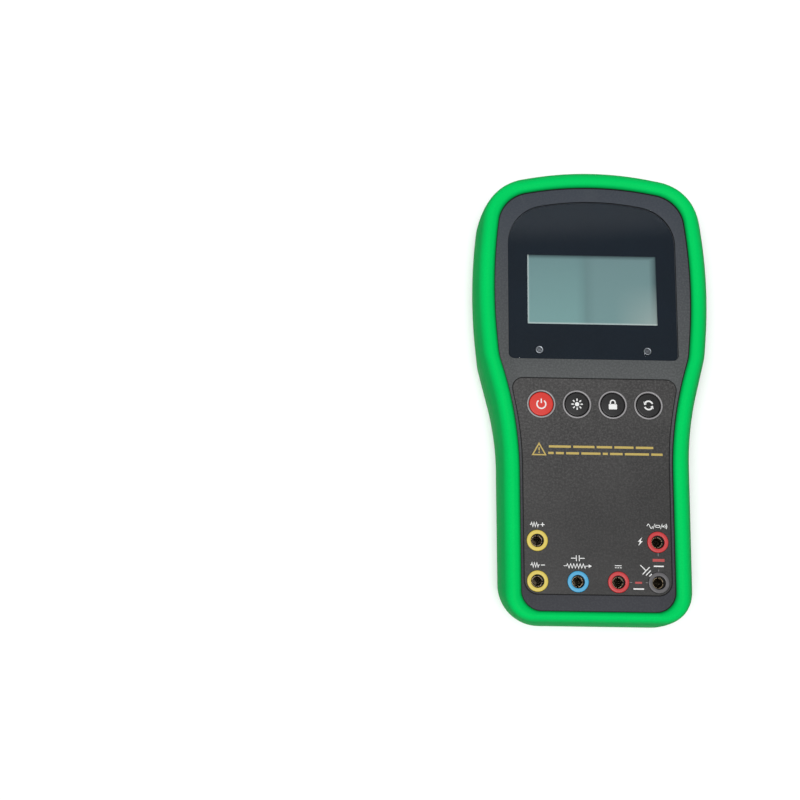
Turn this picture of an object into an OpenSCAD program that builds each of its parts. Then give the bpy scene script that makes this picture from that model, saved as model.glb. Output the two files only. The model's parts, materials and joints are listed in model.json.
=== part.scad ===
// Handheld LCR meter in a rubber boot, lying on its back with the display facing up.
// +Z is out of the front face, +Y towards the display end, +X to the right of the display.
// The origin is the middle of the resting face.

/* [Overall] */
// Length of the meter in its boot
overall_l = 226.6; // [222:0.1:232]
// Depth from the resting face to the crest of the boot's lip
overall_d = 43; // [42:0.5:48]
// Width across the boot at the grip
grip_w = 91.6; // [90:0.1:96]
// Width across the boot between the flanks of the head
head_w = 119.6; // [118:0.1:124]

/* [Boot] */
// Width of the boot's lip beside the front cover
lip_w = 9.8; // [9:0.1:11]
// Width of the boot's lip below the front cover
lip_foot = 6.6; // [6:0.1:8]
// Height of the lip above the front cover
lip_h = 3; // [2:0.5:4]
// Thickness of the boot's back wall
boot_back_t = 2.3; // [2:0.1:2.5]

/* [Case] */
// Height of the joint between the two covers
split_z = 20; // [19:0.5:21]
// Thickness of the front cover's face
face_t = 2.5; // [2.5:0.1:3]
// Depth of the recess for the label panel
label_recess = 0.5; // [0.4:0.1:0.8]

/* [Display] */
// Width of the window
window_w = 82.8; // [80:0.1:84]
// Height of the centre of the display above the middle of the meter
display_y = 50.4; // [49:0.1:52]
// Width of the visible display
display_w = 64; // [60:0.5:66]
// Length of the visible display
display_l = 35.6; // [33:0.1:38]
// Distance between the two window screws
window_screw_pitch = 52.9; // [50:0.1:56]

/* [Keys] */
// Distance between neighbouring keys
key_pitch = 17.3; // [16.5:0.1:18]
// Position of the key row along the meter
key_y = -8; // [-10:0.1:-6]
// Diameter of a key
key_d = 11.7; // [10:0.1:12]
// How far a key travels
key_travel = 0.8; // [0.4:0.1:0.8]

/* [Sockets] */
// Distance between neighbouring sockets
socket_pitch = 19; // [18.5:0.1:19.5]
// Position of the lower socket row along the meter
socket_y = -92.9; // [-94:0.1:-91]
// Outer diameter of a socket's coloured flange
socket_d = 10; // [9.5:0.1:10.4]
// Diameter of the hole in a socket's flange
socket_hole_d = 6.2; // [6:0.1:6.6]
// Diameter of the contact sleeve's bore, for a 4 mm plug
plug_bore_d = 4.04; // [4.02:0.01:4.08]

/* [Kickstand] */
// Width of the kickstand
stand_w = 42; // [38:1:43]
// Length of the kickstand from its pivot to its foot
stand_l = 84; // [76:1:86]
// Position of the kickstand's pivot along the meter
stand_y = 30; // [28:1:32]

/* [Hidden] */
$fn = 64;
slack = 0.01;

face_z = overall_d - lip_h;
face_under_z = face_z - face_t;
label_z = face_z - label_recess;
case_z = boot_back_t + 0.3;
foot_y = -overall_l / 2;

// The case and the boot follow one family of outlines: the lip's inner edge at t = 0, the boot's
// flank at 1, its rounder foot near the resting face at 2 and the opening in its back at 3.
// A corner is [x, y, radius, steps], given for the right half from the foot up to the crown.
lip_corners = [
    [grip_w / 2 - lip_w + 0.2, foot_y + lip_foot, 9.5, 6],
    [grip_w / 2 - lip_w + 0.8, -14.9, 182, 6],
    [head_w / 2 - lip_w - 3.7, 16.1, 28, 3],
    [head_w / 2 - lip_w - 0.1, 54.6, 268, 6],
    [head_w / 2 - lip_w - 5.2, overall_l / 2 - 15.9, 17, 8],
    [0, overall_l / 2 - 7.45, 160, 8]];
flank_corners = [
    [grip_w / 2, foot_y, 19, 6],
    [grip_w / 2 + 1, -19.4, 142, 6],
    [head_w / 2 - 3.6, 17.6, 30, 3],
    [head_w / 2, 52.6, 250, 6],
    [head_w / 2 - 5.6, overall_l / 2 - 7.3, 33, 8],
    [0, overall_l / 2 + 2.9, 155, 8]];
base_corners = [
    [grip_w / 2 - 2, foot_y + 1.8, 19, 6],
    [grip_w / 2 - 1, -19.4, 142, 6],
    [head_w / 2 - 5.6, 17.6, 30, 3],
    [head_w / 2 - 2, 52.6, 210, 6],
    [head_w / 2 - 7.8, overall_l / 2 - 9.4, 34, 8],
    [0, overall_l / 2 + 0.3, 130, 8]];
back_corners = [
    [24.7, foot_y + 15, 4, 6],
    [24.7, -12, 100, 6],
    [35.6, 20, 40, 3],
    [37.6, 52, 200, 6],
    [34.5, 84, 8, 8],
    [0, 91.5, 130, 8]];
stations = [lip_corners, flank_corners, base_corners, back_corners];
case_t = 0.24;
cavity_t = 0.02;
boot_t = 0.26;
board_t = -0.1;

window_foot_y = 14.7;
window_corners = [
    [window_w / 2, window_foot_y, 2.6, 4],
    [window_w / 2 + 0.2, 90, 20, 8],
    [0, 98.3, 130, 8]];
label_corners = [
    [34.6, -98.85, 6.5, 5],
    [35.2, -22.85, 160, 6],
    [40.8, 4.8, 5, 5]];
window_screw_xy = [for (s = [-1, 1]) [s * window_screw_pitch / 2, 19.15]];
window_screw_head_d = 3.9;

// Display stack, from the window down
lens_t = 1.4;
mask_t = 0.15;
lens_z = face_z - 0.05 - lens_t;
mask_z = lens_z - mask_t;
ledge_margin = 1;
lcd_w = 70;
lcd_l = 42;
lcd_t = 2.2;
lcd_z = face_under_z - 0.4 - lcd_t;
backlight_t = 3.2;
backlight_z = lcd_z - 0.1 - backlight_t;
frame_wall = 1.8;
display_board_t = 1.2;
display_board_z = backlight_z - 1.1 - display_board_t;
display_board_w = 83;
display_board_l = 54;
display_screw_xy = [for (sx = [-1, 1], sy = [-1, 1]) [sx * 39.2, display_y + sy * 24.3]];

// Main board and what stands on it
board_top_z = 22;
board_thick = 1.6;
board_z = board_top_z - board_thick;
case_screw_xy = [[-22, 81.5], [22, 81.5], [-17, -62], [17, -62]];
board_screw_xy = [[-30, -35], [30, -35], [-36, 20], [36, 20]];
boss_d = 7;
board_boss_d = 5.5;
small_boss_d = 4.6;
case_pilot_d = 2.4;
board_pilot_d = 2;
window_pilot_d = 2;
display_pilot_d = 1.8;
header_y = 27.5;

fuse_xy = [4, -54];
fuse_z = board_top_z + 5;

// Keys
key_xs = [for (i = [0:3]) (i - 1.5) * key_pitch];
key_gap = 0.25;
ring_d = 13.9;
key_top_z = face_z + 0.3;
key_flange_d = 13.4;
key_flange_z = face_under_z - 1.5;
switch_top_z = board_top_z + 5;
key_stem_z = switch_top_z + key_travel + 0.1;

// Sockets: right-hand columns carry the volt, ampere and common inputs
socket_left_x = -1.5 * socket_pitch;
socket_upper_y = socket_y + socket_pitch;
lcr_plus_xy = [socket_left_x, socket_upper_y];
lcr_minus_xy = [socket_left_x, socket_y];
discharge_xy = [socket_left_x + socket_pitch, socket_y];
amp_xy = [socket_left_x + 2 * socket_pitch, socket_y];
com_xy = [socket_left_x + 3 * socket_pitch, socket_y];
volt_xy = [socket_left_x + 3 * socket_pitch, socket_upper_y];
socket_xy = [lcr_plus_xy, lcr_minus_xy, discharge_xy, amp_xy, com_xy, volt_xy];
socket_body_d = 8.2;
sleeve_d = 5.6;
sleeve_top_z = face_z - 2.4;
sleeve_foot_z = 18.8;

// Charging port in the display end
usb_w = 9;
usb_h = 3.3;
usb_l = 7.4;
usb_z = board_top_z + usb_h / 2;
usb_end_y = overall_l / 2 - 8.5;
slot_w = 13.5;
slot_h = 7.4;

// Kickstand pocket in the rear cover
stand_t = 3;
stand_z = 1.4;
pivot_z = 4.8;
pivot_barrel_d = 3.8;
pivot_pin_d = 2.4;
pivot_pin_l = 3;
pivot_play = 0.05;
pocket_play = 0.4;
pocket_roof_z = stand_z + stand_t + 0.4;
// What is left of the kickstand beside, above and below its opening
stand_side = 8;
stand_head = 21;
stand_toe = 13;
// Finger notch at the kickstand's toe
notch_w = 16;
notch_l = 8;
notch_depth = 1.5;

// Battery
pack_w = 38;
pack_l = 60;
pack_t = 9;
pack_z = 9.4;
pack_y = -8;
lead_end_y = pack_y + pack_l / 2;

// ---- outlines ----

function unit(v) = v / norm(v);

function corner_arc(p, v, q, r, steps) =
    let (
        a = unit(p - v),
        b = unit(q - v),
        half = acos(a * b) / 2,
        centre = v + unit(a + b) * r / sin(half),
        first = v + a * r / tan(half) - centre,
        start = atan2(first.y, first.x),
        turn = (cross(v - p, q - v) > 0 ? 1 : -1) * (180 - 2 * half)
    ) [for (i = [0:steps])
        centre + r * [cos(start + turn * i / steps), sin(start + turn * i / steps)]];

function flat(corner) = [corner.x, corner.y];

function rounded(corners) =
    let (count = len(corners)) [for (i = [0:count - 1])
        each corner_arc(flat(corners[(i + count - 1) % count]), flat(corners[i]),
            flat(corners[(i + 1) % count]), corners[i][2], corners[i][3])];

function both_sides(half) = concat(half, [for (i = [len(half) - 1:-1:0])
    if (half[i].x != 0) [-half[i].x, half[i].y, half[i][2], half[i][3]]]);

// Corners between two sets of corners. Between lip and flank the radii change late, so the boot's
// flank is rounder at its corners than its lip is.
function mixed(from, to, u, ru) = [
    for (i = [0:len(from) - 1])
        let (a = from[i], b = to[i])
            [a.x + (b.x - a.x) * u, a.y + (b.y - a.y) * u, a.z + (b.z - a.z) * ru, a[3]]];

function family(t) =
    let (i = min(max(floor(t), 0), len(stations) - 2), u = t - i)
        rounded(both_sides(mixed(stations[i], stations[i + 1], u, i == 0 ? pow(u, 3) : u)));

// The same corners moved outwards, for the near-rectangular window and label panel
function grown(corners, g) = rounded(both_sides([for (c = corners)
    let (up = c.y == corners[0].y ? -g : g)
        [c.x == 0 ? 0 : c.x + g, c.y + up, c[2] + g, c[3]]]));

module slab(outline, z0, z1) {
    translate([0, 0, z0]) linear_extrude(z1 - z0) polygon(outline);
}

module block(w, l, z0, z1) {
    translate([-w / 2, -l / 2, z0]) cube([w, l, z1 - z0]);
}

module post(d, z0, z1) {
    translate([0, 0, z0]) cylinder(d = d, h = z1 - z0);
}

module at(places) {
    for (p = places) translate([p.x, p.y, 0]) children();
}

// A closed ring of sections swept round the family of outlines; section points are [t, z]
module swept_boot(section) {
    loops = [for (s = section) family(s.x)];
    around = len(loops[0]);
    rows = len(section);
    points = [for (k = [0:rows - 1]) for (p = loops[k]) [p.x, p.y, section[k].y]];
    faces = [for (k = [0:rows - 1]) for (i = [0:around - 1])
        let (
            k2 = (k + 1) % rows,
            i2 = (i + 1) % around,
            a = k * around + i,
            b = k * around + i2,
            c = k2 * around + i2,
            d = k2 * around + i
        ) each [[a, b, c], [a, c, d]]];
    polyhedron(points, faces);
}

// ---- boot ----

boot_section = [
    [0.02, face_z + 0.1], [0, face_z + 1], [0.02, face_z + 1.8], [0.1, face_z + 2.6],
    [0.24, overall_d], [0.42, overall_d - 0.2], [0.58, overall_d - 1], [0.72, overall_d - 2.6],
    [0.83, overall_d - 5], [0.92, overall_d - 8], [0.98, overall_d - 12], [1, 27],
    [1.2, 21], [1.5, 14], [1.8, 7.5], [2, 3.6], [2.05, 1.6], [2.12, 0.5], [2.25, 0],
    [2.96, 0], [3, 0.5], [3, boot_back_t], [boot_t, boot_back_t], [boot_t, face_z + 0.1]];

module holster() {
    color("limegreen") difference() {
        swept_boot(boot_section);
        translate([0, overall_l / 2 - 5, usb_z]) rounded_slot(slot_w, slot_h, 20);
    }
}

// A stadium-shaped tool along Y
module rounded_slot(w, h, l) {
    rotate([90, 0, 0]) linear_extrude(l, center = true) {
        square([w - h, h], center = true);
        for (s = [-1, 1]) translate([s * (w - h) / 2, 0]) circle(d = h);
    }
}

// ---- covers ----

module front_cover() {
    color("dimgray") difference() {
        union() {
            difference() {
                slab(family(case_t), split_z, face_z);
                slab(family(cavity_t), split_z - 1, face_under_z);
            }
            front_bosses();
        }
        slab(grown(window_corners, 0.15), mask_z, face_z + 1);
        translate([0, display_y, 0])
            block(display_w + 2 * ledge_margin, display_l + 2 * ledge_margin, face_under_z - 1, face_z);
        slab(grown(label_corners, 0.35), label_z, face_z + 1);
        for (x = key_xs) translate([x, key_y, 0]) post(key_d + 2 * key_gap, face_under_z - 1, face_z);
        at(socket_xy) post(socket_body_d + 0.2, face_under_z - 1, face_z);
        at(window_screw_xy) post(window_pilot_d, face_under_z - 6, face_z);
        at(case_screw_xy) post(case_pilot_d, split_z - 1, split_z + 12);
        at(board_screw_xy) post(board_pilot_d, board_top_z - 1, board_top_z + 8);
        at(display_screw_xy) post(display_pilot_d, face_under_z - 8, face_under_z - 1);
        translate([0, overall_l / 2 - 8, usb_z]) rounded_slot(usb_w + 0.6, usb_h + 0.6, 8);
    }
}

module front_bosses() {
    at(case_screw_xy) post(boss_d, split_z, face_under_z + slack);
    at(board_screw_xy) post(board_boss_d, board_top_z, face_under_z + slack);
    at(display_screw_xy) post(small_boss_d, display_board_z + display_board_t, face_under_z + slack);
    at(window_screw_xy) post(small_boss_d, face_under_z - 5, face_under_z + slack);
}

module rear_cover() {
    color("dimgray") difference() {
        union() {
            difference() {
                slab(family(case_t), case_z, split_z - 0.05);
                slab(family(cavity_t), case_z + 2.2, split_z + 1);
            }
            at(case_screw_xy) post(boss_d, case_z + 2, split_z - 0.2);
            pocket_backing();
        }
        at(case_screw_xy) post(3.4, case_z - 1, split_z + 1);
        at(case_screw_xy) post(5.8, case_z - 1, case_z + 3);
        stand_pocket();
    }
}

// Solid behind the kickstand's pocket, deeper round the pivot
module pocket_backing() {
    translate([0, stand_y - stand_l / 2, 0]) block(stand_w + 8, stand_l + 8, case_z + 1, pocket_roof_z + 2);
    translate([0, stand_y, 0]) block(stand_w + 12, 11, case_z + 1, pivot_z + 4.2);
}

module stand_pocket() {
    play = 2 * pocket_play;
    translate([0, stand_y - stand_l / 2, 0]) block(stand_w + play, stand_l + play, case_z - 1, pocket_roof_z);
    translate([0, stand_y, 0]) block(stand_w + play, 2 * (pivot_z - stand_z) + play, case_z - 1,
        pivot_z + pivot_barrel_d / 2 + pocket_play);
    translate([0, stand_y - stand_l - 3, 0]) block(notch_w, notch_l, case_z - 1, case_z + notch_depth);
    pivot_rod(pivot_pin_d + 2 * pivot_play, stand_w + 2 * pivot_pin_l + 0.6);
}

module pivot_rod(d, l) {
    translate([0, stand_y, pivot_z]) rotate([0, 90, 0]) cylinder(d = d, h = l, center = true);
}

module kickstand() {
    color("dimgray") {
        difference() {
            translate([0, stand_y - stand_l / 2, 0]) stand_plate();
            translate([0, stand_y - (stand_l + stand_head - stand_toe) / 2, 0])
                block(stand_w - 2 * stand_side, stand_l - stand_head - stand_toe,
                    stand_z - 1, stand_z + stand_t + 1);
        }
        pivot_rod(pivot_barrel_d, stand_w);
        pivot_rod(pivot_pin_d, stand_w + 2 * pivot_pin_l);
    }
}

module stand_plate() {
    slab(rounded(both_sides([[stand_w / 2, -stand_l / 2, 6, 5], [stand_w / 2, stand_l / 2, 1, 2]])),
        stand_z, stand_z + stand_t);
}

// ---- window, label and trims ----

module window_lens() {
    color("lightcyan", 0.4) difference() {
        slab(grown(window_corners, 0), lens_z, lens_z + lens_t);
        at(window_screw_xy) post(2.2, lens_z - 1, face_z);
        at(window_screw_xy) post(window_screw_head_d + 0.2, face_z - 0.95, face_z + 1);
    }
}

module window_mask() {
    color("black") difference() {
        slab(grown(window_corners, 0), mask_z, lens_z);
        translate([0, display_y, 0]) block(display_w, display_l, mask_z - 1, face_z);
        at(window_screw_xy) post(2.2, mask_z - 1, face_z);
    }
}

module window_screws() {
    color("silver") at(window_screw_xy) difference() {
        union() {
            post(window_screw_head_d, face_z - 0.95, face_z - 0.05);
            post(1.9, face_under_z - 5, face_z - 0.5);
        }
        post(2.3, face_z - 0.6, face_z + 1);
    }
}

module label_panel() {
    color([0.25, 0.25, 0.26]) difference() {
        slab(grown(label_corners, 0), label_z, face_z - 0.05);
        for (x = key_xs) translate([x, key_y, 0]) post(ring_d + 0.2, label_z - 1, face_z + 1);
        at(socket_xy) post(socket_d + 0.2, label_z - 1, face_z + 1);
    }
}

module key_rings() {
    bore_r = key_d / 2 + key_gap;
    color("gray") for (x = key_xs) translate([x, key_y, label_z]) rotate_extrude()
        polygon([[bore_r, 0], [ring_d / 2, 0], [ring_d / 2, 0.6], [ring_d / 2 - 0.2, 0.85],
            [bore_r + 0.25, 0.85], [bore_r, 0.6]]);
}

// ---- keys ----

module key(i) {
    edge = 0.5;
    translate([key_xs[i], key_y, 0]) {
        rotate_extrude() polygon([[0, key_flange_z], [key_d / 2, key_flange_z], [key_d / 2, key_top_z - edge],
            [key_d / 2 - 0.15, key_top_z - 0.15], [key_d / 2 - edge, key_top_z], [0, key_top_z + 0.1]]);
        post(key_flange_d, key_flange_z, face_under_z - 0.4);
        post(4, key_stem_z, key_flange_z + slack);
    }
}

module power_key() {
    color("tomato") key(0);
}

module lamp_key() {
    color([0.22, 0.22, 0.22]) key(1);
}

module hold_key() {
    color([0.22, 0.22, 0.22]) key(2);
}

module mode_key() {
    color([0.22, 0.22, 0.22]) key(3);
}

// ---- sockets ----

// Flanged insulator: wide hole at the flange, a closer one round the sleeve
module socket(place) {
    translate([place.x, place.y, 0]) difference() {
        union() {
            post(socket_body_d, board_top_z, face_z);
            post(socket_d, label_z, face_z + 0.5);
        }
        post(socket_hole_d, sleeve_top_z, face_z + 1);
        post(sleeve_d + 0.1, board_top_z - 1, face_z);
    }
}

module sleeve(place) {
    color("goldenrod") translate([place.x, place.y, 0]) difference() {
        post(sleeve_d, sleeve_foot_z, sleeve_top_z);
        post(plug_bore_d, sleeve_foot_z + 0.8, sleeve_top_z + 1);
    }
}

module lcr_plus_socket() {
    color("gold") socket(lcr_plus_xy);
}

module lcr_minus_socket() {
    color("gold") socket(lcr_minus_xy);
}

module discharge_socket() {
    color("deepskyblue") socket(discharge_xy);
}

module amp_socket() {
    color("crimson") socket(amp_xy);
}

module com_socket() {
    color("gray") socket(com_xy);
}

module volt_socket() {
    color("crimson") socket(volt_xy);
}

// ---- boards and display ----

module main_board() {
    color("darkgreen") difference() {
        slab(family(board_t), board_z, board_top_z);
        at(case_screw_xy) post(boss_d + 1, board_z - 1, board_top_z + 1);
        at(board_screw_xy) post(2.4, board_z - 1, board_top_z + 1);
        at(socket_xy) post(sleeve_d + 0.2, board_z - 1, board_top_z + 1);
    }
}

module display_board() {
    color("green") difference() {
        translate([0, display_y, 0])
            block(display_board_w, display_board_l, display_board_z, display_board_z + display_board_t);
        at(display_screw_xy) post(2.2, display_board_z - 1, display_board_z + 3);
    }
}

module lcd_glass() {
    color([0.5, 0.62, 0.6]) translate([0, display_y, 0]) block(lcd_w, lcd_l, lcd_z, lcd_z + lcd_t);
}

module backlight() {
    color("white") translate([0, display_y, 0]) block(lcd_w, lcd_l, backlight_z, backlight_z + backlight_t);
}

module lcd_frame() {
    outer_w = lcd_w + 2 * frame_wall;
    outer_l = lcd_l + 2 * frame_wall;
    frame_z = display_board_z + display_board_t;
    color([0.15, 0.15, 0.15]) translate([0, display_y, 0]) difference() {
        block(outer_w, outer_l, frame_z, lcd_z + lcd_t + 0.3);
        block(lcd_w + 0.2, lcd_l + 0.2, frame_z + 0.8, lcd_z + lcd_t + 0.05);
        block(display_w + 2, display_l + 2, lcd_z, face_z);
    }
}

module display_header() {
    color([0.1, 0.1, 0.1]) translate([0, header_y, 0]) block(26, 5, board_top_z, display_board_z);
}

module tact_switches() {
    color("silver") for (x = key_xs) translate([x, key_y, 0]) {
        block(6, 6, board_top_z, board_top_z + 3.5);
        post(3.4, board_top_z + 3, switch_top_z);
    }
}

module chips() {
    color([0.12, 0.12, 0.13]) {
        translate([6, -30, 0]) block(14, 14, board_top_z, board_top_z + 1.6);
        translate([-18, -28, 0]) block(8, 6, board_top_z, board_top_z + 1.5);
        translate([-10, 90, 0]) block(6, 5, board_top_z, board_top_z + 1.2);
    }
}

module crystal() {
    color("silver") translate([22, -24, 0]) block(4.6, 11, board_top_z, board_top_z + 3.6);
}

module capacitors() {
    color("navy") {
        at([[24, -50], [-27, -54]]) post(8, board_top_z, board_top_z + 12);
        translate([-8, -48, 0]) block(7, 12, board_top_z, board_top_z + 11);
    }
}

module buzzer() {
    color([0.1, 0.1, 0.1]) translate([-20, -40, 0]) difference() {
        post(12, board_top_z, board_top_z + 7.5);
        post(2, board_top_z + 5, board_top_z + 8);
    }
}

module fuse_tube() {
    color("lightblue") translate([fuse_xy.x, fuse_xy.y, fuse_z]) rotate([90, 0, 0])
        cylinder(d = 5.2, h = 20, center = true);
}

module fuse_clips() {
    color("goldenrod") for (s = [-1, 1]) translate([fuse_xy.x, fuse_xy.y + s * 7.5, 0]) difference() {
        block(6.8, 4, board_top_z, fuse_z + 1.6);
        translate([0, 0, fuse_z]) rotate([90, 0, 0]) cylinder(d = 5.3, h = 6, center = true);
        block(4.2, 5, fuse_z, fuse_z + 4);
    }
}

// Bent bar between the ampere and common inputs
module shunt_wire() {
    wire_d = 1.6;
    span = 8;
    rise = 5;
    color("peru") translate([(amp_xy.x + com_xy.x) / 2, socket_y + 6, board_top_z]) rotate([90, 0, 0]) {
        for (s = [-1, 1]) translate([s * span / 2, 0, 0]) rotate([-90, 0, 0]) cylinder(d = wire_d, h = rise);
        translate([0, rise, 0]) rotate_extrude(angle = 180) translate([span / 2, 0]) circle(d = wire_d);
    }
}

module discharge_resistor() {
    color("white") translate([-9, -76, 0]) block(22, 9.5, board_top_z, board_top_z + 9);
}

module usb_port() {
    color("silver") translate([0, usb_end_y, usb_z]) difference() {
        translate([0, -usb_l / 2, 0]) rounded_slot(usb_w, usb_h, usb_l);
        rounded_slot(usb_w - 0.6, usb_h - 0.6, 12);
    }
}

// ---- battery ----

module battery_pack() {
    color("silver") translate([0, pack_y, 0])
        slab(rounded(both_sides([[pack_w / 2, -pack_l / 2, 2, 3], [pack_w / 2, pack_l / 2, 2, 3]])),
            pack_z, pack_z + pack_t);
}

module battery_socket() {
    color("ivory") translate([0, lead_end_y + 14, 0]) block(7, 5, board_z - 5.5, board_z);
}

module battery_leads() {
    color("red") lead(-1.2);
    color([0.1, 0.1, 0.1]) lead(1.2);
}

// A lead runs level out of the pack and rises into the socket's face
module lead(x) {
    steps = 10;
    reach = 11.5;
    low_z = pack_z + pack_t - 2;
    high_z = board_z - 3;
    route = [for (i = [0:steps])
        let (u = i / steps) [x, lead_end_y + reach * u, low_z + (high_z - low_z) * (3 - 2 * u) * u * u]];
    tube(route, 0.6, 8);
}

// Round tube along a route that runs along Y
module tube(route, r, sides) {
    rings = len(route);
    points = [for (p = route) for (k = [0:sides - 1])
        p + r * [cos(360 * k / sides), 0, sin(360 * k / sides)]];
    walls = [for (j = [0:rings - 2]) for (k = [0:sides - 1])
        let (k2 = (k + 1) % sides, a = j * sides)
            each [[a + k, a + k2, a + sides + k2], [a + k, a + sides + k2, a + sides + k]]];
    near_end = [for (k = [sides - 1:-1:0]) k];
    far_end = [for (k = [0:sides - 1]) (rings - 1) * sides + k];
    polyhedron(points, concat(walls, [near_end, far_end]));
}

// ---- fasteners ----

// Screw driven upwards, its head's face at z0 and its tip at z1
module screw_up(head_d, head_h, shank_d, z0, z1) {
    difference() {
        union() {
            post(head_d, z0, z0 + head_h);
            post(shank_d, z0 + head_h - slack, z1);
        }
        for (a = [0, 90]) rotate(a) block(head_d * 0.6, head_d * 0.16, z0 - 1, z0 + head_h * 0.6);
    }
}

module case_screws() {
    color("silver") at(case_screw_xy) screw_up(5.4, 2, 2.2, case_z + 0.9, split_z + 9);
}

module board_screws() {
    color("silver") at(board_screw_xy) screw_up(4.4, 1.6, 1.9, board_z - 1.6, board_top_z + 6);
}

module display_screws() {
    color("silver") at(display_screw_xy) screw_up(3.8, 1.4, 1.7, display_board_z - 1.4, face_under_z - 2.5);
}

holster();
front_cover();
rear_cover();
window_lens();
window_mask();
window_screws();
label_panel();
key_rings();
power_key();
lamp_key();
hold_key();
mode_key();
lcr_plus_socket();
lcr_minus_socket();
discharge_socket();
amp_socket();
com_socket();
volt_socket();
sleeve(lcr_plus_xy);  // lcr_plus_sleeve
sleeve(lcr_minus_xy);  // lcr_minus_sleeve
sleeve(discharge_xy);  // discharge_sleeve
sleeve(amp_xy);  // amp_sleeve
sleeve(com_xy);  // com_sleeve
sleeve(volt_xy);  // volt_sleeve
main_board();
display_board();
lcd_glass();
lcd_frame();
backlight();
display_header();
tact_switches();
chips();
crystal();
capacitors();
buzzer();
fuse_tube();
fuse_clips();
shunt_wire();
discharge_resistor();
usb_port();
battery_pack();
battery_socket();
battery_leads();
case_screws();
board_screws();
display_screws();
kickstand();
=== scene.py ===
import json
import math

import bmesh
import bpy
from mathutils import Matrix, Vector


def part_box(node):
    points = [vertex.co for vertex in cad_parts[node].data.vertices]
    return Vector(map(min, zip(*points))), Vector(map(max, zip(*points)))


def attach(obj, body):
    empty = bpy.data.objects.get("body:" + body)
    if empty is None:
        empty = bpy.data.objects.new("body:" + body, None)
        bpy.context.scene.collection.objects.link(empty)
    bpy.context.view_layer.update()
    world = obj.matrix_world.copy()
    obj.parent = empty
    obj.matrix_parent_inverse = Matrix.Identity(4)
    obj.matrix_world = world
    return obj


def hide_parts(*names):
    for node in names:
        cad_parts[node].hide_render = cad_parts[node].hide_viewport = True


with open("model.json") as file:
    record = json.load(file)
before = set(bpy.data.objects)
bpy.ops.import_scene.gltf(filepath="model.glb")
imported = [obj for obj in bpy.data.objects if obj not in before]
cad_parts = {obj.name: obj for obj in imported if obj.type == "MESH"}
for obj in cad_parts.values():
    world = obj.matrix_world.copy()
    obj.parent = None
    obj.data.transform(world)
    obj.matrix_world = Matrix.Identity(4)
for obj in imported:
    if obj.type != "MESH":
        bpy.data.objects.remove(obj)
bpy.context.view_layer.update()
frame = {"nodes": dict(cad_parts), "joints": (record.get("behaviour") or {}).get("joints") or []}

MM = 0.001
DETAIL = 3            # outline steps here for each step of the CAD outline

METER = "meter"
scene = bpy.context.scene


def span(node):
    """Lowest and highest corner of a CAD node, in millimetres."""
    low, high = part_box(node)
    return Vector(low) / MM, Vector(high) / MM


def centre(node):
    low, high = span(node)
    return (low + high) / 2


# -------- key sizes, from the frame (mm)

boot_low, boot_high = span("holster")
BOOT_TOP = boot_high.z
FOOT_Y = boot_low.y
HALF_L = -FOOT_Y
FACE_Z = span("front_cover")[1].z
FACE_UNDER_Z = FACE_Z - 2.5
DECK_Z = FACE_Z - 1.6     # top of the deck below the face's recesses
LABEL_FLOOR_Z = span("label_panel")[0].z
LABEL_Z = span("label_panel")[1].z
CASE_Z = span("rear_cover")[0].z
SPLIT_Z = span("front_cover")[0].z
BACK_T = CASE_Z - 0.3

GRIP = 45.8           # half width of the boot's flank corners at the grip
HEAD = 59.8           # and at the head
LIP = 9.8             # width of the lip
LIP_FOOT = 6.6        # and below the front cover

CASE_OUTSIDE = 0.24   # the case's side wall in the family of outlines, see family()
CASE_INSIDE = 0.02    # and the inside of that wall

KEYS = ["power", "lamp", "hold", "mode"]
SOCKETS = {
    "lcr_plus": "yellow",
    "lcr_minus": "yellow",
    "discharge": "blue",
    "amp": "red",
    "com": "grey",
    "volt": "red",
}

STAND_W = 42
STAND_T = 3
BARREL_R = 1.9        # the kickstand's hinge barrel
PIN_R = 1.2           # and the pins at its ends
WINDOW_SCREW_R = 1.95

socket_low, socket_high = span("volt_socket")
SOCKET_D = socket_high.x - socket_low.x

# -------- outlines (mm)

# A corner is (x, y, radius, steps), for the right half from the foot up to the crown.
LIP_CORNERS = [
    (GRIP - LIP + 0.2, FOOT_Y + LIP_FOOT, 9.5, 6),
    (GRIP - LIP + 0.8, -14.9, 182, 6),
    (HEAD - LIP - 3.7, 16.1, 28, 3),
    (HEAD - LIP - 0.1, 54.6, 268, 6),
    (HEAD - LIP - 5.2, HALF_L - 15.9, 17, 8),
    (0, HALF_L - 7.45, 160, 8),
]
FLANK_CORNERS = [
    (GRIP, FOOT_Y, 19, 6),
    (GRIP + 1, -19.4, 142, 6),
    (HEAD - 3.6, 17.6, 30, 3),
    (HEAD, 52.6, 250, 6),
    (HEAD - 5.6, HALF_L - 7.3, 33, 8),
    (0, HALF_L + 2.9, 155, 8),
]
BASE_CORNERS = [
    (GRIP - 2, FOOT_Y + 1.8, 19, 6),
    (GRIP - 1, -19.4, 142, 6),
    (HEAD - 5.6, 17.6, 30, 3),
    (HEAD - 2, 52.6, 210, 6),
    (HEAD - 7.8, HALF_L - 9.4, 34, 8),
    (0, HALF_L + 0.3, 130, 8),
]
BACK_CORNERS = [
    (24.7, FOOT_Y + 15, 4, 6),
    (24.7, -12, 100, 6),
    (35.6, 20, 40, 3),
    (37.6, 52, 200, 6),
    (34.5, 84, 8, 8),
    (0, 91.5, 130, 8),
]
STATIONS = [LIP_CORNERS, FLANK_CORNERS, BASE_CORNERS, BACK_CORNERS]

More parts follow.
